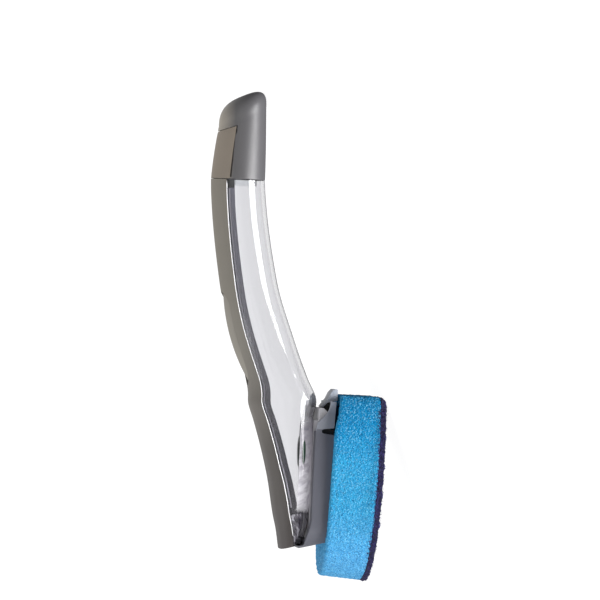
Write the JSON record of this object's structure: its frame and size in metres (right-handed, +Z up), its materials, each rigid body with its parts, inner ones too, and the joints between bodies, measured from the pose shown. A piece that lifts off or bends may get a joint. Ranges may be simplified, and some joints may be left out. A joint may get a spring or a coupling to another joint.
{
  "type": "dish wand",
  "caption": "Soap-dispensing dish wand with a clear reservoir handle, soft grip, press button, screw filler cap and a slide-off foam scrub refill with a release latch.",
  "frame": {"origin": "centre of the bounding box at the table plane, with the wand lying scrub face down on the heel edge of the refill and the nose of the cap", "axes": "+X from the toe of the scrub head towards the filler cap, +Y lateral, +Z up; the handle's plane of symmetry is XZ"},
  "size_m": [0.2685, 0.062, 0.0795],
  "materials": {
    "clear_shell": "gloss",
    "spine": "satin",
    "soft_grip": "matte",
    "button": "matte",
    "membrane": "matte",
    "frame_plastic": "satin",
    "clear_neck": "gloss",
    "cap_shell": "satin",
    "cap_inlay": "matte",
    "insert": "satin",
    "seal": "matte",
    "rail_plastic": "satin",
    "nozzle": "satin",
    "valve": "matte",
    "retainer": "satin",
    "refill_plastic": "satin",
    "latch_plastic": "satin",
    "foam": "matte",
    "scrub": "matte",
    "dots": "satin"
  },
  "bodies": {
    "handle": {"reservoir": "clear_shell", "back_spine": "spine", "grip_overmold": "soft_grip", "button_frame": "frame_plastic", "neck_collar": "clear_neck", "foot_rail": "rail_plastic", "outlet_nozzle": "nozzle", "slit_valve": "valve", "valve_retainer": "retainer"},
    "seal": {"cap_seal": "seal"},
    "cap": {"filler_cap": "cap_shell", "cap_insert": "insert", "cap_grip_inlay": "cap_inlay"},
    "button": {"dispense_button": "button", "pump_membrane": "membrane"},
    "refill": {"refill_base": "refill_plastic", "foam_block": "foam", "scrub_pad": "scrub", "scrub_dots": "dots"},
    "latch": {"release_latch": "latch_plastic"}
  },
  "joints": [
    {"name": "cap_lift", "type": "slide", "parent": "handle", "child": "seal", "axis": [0.9176, 0, -0.3975], "range_m": [0, 0.015]},
    {"name": "cap_twist", "type": "hinge", "parent": "seal", "child": "cap", "pos_m": [0.09529, 0, 0.02868], "axis": [0.9176, 0, -0.3975], "range_deg": [0, 900]},
    {"name": "button_press", "type": "slide", "parent": "handle", "child": "button", "axis": [-0.1031, 0, -0.9947], "range_m": [0, 0.0025], "stiffness_N_per_m": 1200},
    {"name": "refill_slide", "type": "slide", "parent": "handle", "child": "refill", "axis": [-0.9176, 0, 0.3975], "range_m": [0, 0.074]},
    {"name": "latch_flex", "type": "hinge", "parent": "refill", "child": "latch", "pos_m": [-0.04804, 0, 0.03895], "axis": [0, 1, 0], "range_deg": [0, 5], "stiffness_Nm_per_rad": 0.4}
  ],
  "couplings": [
    {"joint": "cap_lift", "follows": "cap_twist", "m_per_rad": 0.00095493}
  ]
}
